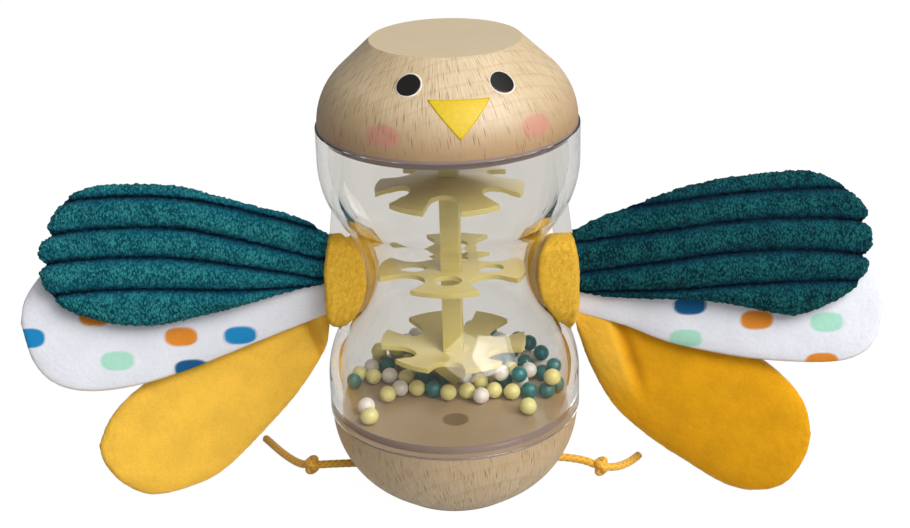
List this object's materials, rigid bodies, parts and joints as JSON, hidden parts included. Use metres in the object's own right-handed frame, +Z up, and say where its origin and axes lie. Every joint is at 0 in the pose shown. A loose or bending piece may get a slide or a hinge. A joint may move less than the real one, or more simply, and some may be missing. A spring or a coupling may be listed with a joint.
{
  "type": "bird rattle",
  "caption": "Hand rattle shaped like a bird: wooden head and base, clear hourglass body with beads and baffles, stuffed fabric wings and a knotted cord for legs",
  "frame": {"origin": "middle of the flat that the base stands on", "axes": "+Z up the body, -Y the way the face looks, +X to the viewer's right through the wing"},
  "size_m": [0.2316, 0.0684, 0.127],
  "materials": {
    "beech": "fine-sanded beech under a thin matt oil",
    "clear_plastic": "clear polished moulding",
    "smoke_plastic": "smoke-tinted moulding",
    "cream_plastic": "pale yellow translucent moulding",
    "teal_bead": "gloss",
    "white_bead": "gloss",
    "yellow_bead": "gloss",
    "yellow_plush": "short-pile velour",
    "white_plush": "short-pile velour with printed dots",
    "teal_terry": "ribbed terry",
    "satin_cord": "round satin cord"
  },
  "bodies": {
    "body": {"head": "beech", "base": "beech", "clear_shell": "clear_plastic", "top_plate": "smoke_plastic", "bottom_plate": "smoke_plastic", "baffle_post": "cream_plastic", "upper_baffle": "cream_plastic", "middle_baffle": "cream_plastic", "lower_baffle": "cream_plastic"},
    "left_wing": {"left_tab": "yellow_plush", "left_white_feather": "white_plush"},
    "right_wing": {"right_tab": "yellow_plush", "right_white_feather": "white_plush"},
    "left_teal": {"left_teal_feather": "teal_terry"},
    "right_teal": {"right_teal_feather": "teal_terry"},
    "left_yellow": {"left_yellow_feather": "yellow_plush"},
    "right_yellow": {"right_yellow_feather": "yellow_plush"},
    "beads": {"teal_beads": "teal_bead", "white_beads": "white_bead", "yellow_beads": "yellow_bead"},
    "legs": {"leg_cord": "satin_cord", "left_leg": "satin_cord", "right_leg": "satin_cord", "left_knot": "satin_cord", "right_knot": "satin_cord"}
  },
  "joints": [
    {"name": "left_wing_swing", "type": "hinge", "parent": "body", "child": "left_wing", "pos_m": [-0.03, 0, 0.06475], "axis": [0, 0, 1], "range_deg": [-35, 35]},
    {"name": "left_teal_flap", "type": "hinge", "parent": "left_wing", "child": "left_teal", "pos_m": [-0.0347, -0.0022, 0.06475], "axis": [0, 0, 1], "range_deg": [0, 45], "stiffness_Nm_per_rad": 0.003},
    {"name": "left_yellow_flap", "type": "hinge", "parent": "left_wing", "child": "left_yellow", "pos_m": [-0.0347, 0.0022, 0.06475], "axis": [0, 0, -1], "range_deg": [0, 45], "stiffness_Nm_per_rad": 0.003},
    {"name": "right_wing_swing", "type": "hinge", "parent": "body", "child": "right_wing", "pos_m": [0.03, 0, 0.06475], "axis": [0, 0, -1], "range_deg": [-35, 35]},
    {"name": "right_teal_flap", "type": "hinge", "parent": "right_wing", "child": "right_teal", "pos_m": [0.0347, -0.0022, 0.06475], "axis": [0, 0, -1], "range_deg": [0, 45], "stiffness_Nm_per_rad": 0.003},
    {"name": "right_yellow_flap", "type": "hinge", "parent": "right_wing", "child": "right_yellow", "pos_m": [0.0347, 0.0022, 0.06475], "axis": [0, 0, 1], "range_deg": [0, 45], "stiffness_Nm_per_rad": 0.003},
    {"name": "bead_swirl", "type": "hinge", "parent": "body", "child": "beads", "pos_m": [0, 0, 0.0269], "axis": [0, 0, 1], "continuous": true},
    {"name": "leg_slide", "type": "slide", "parent": "body", "child": "legs", "axis": [1, 0, 0], "range_m": [-0.005, 0.005]}
  ]
}
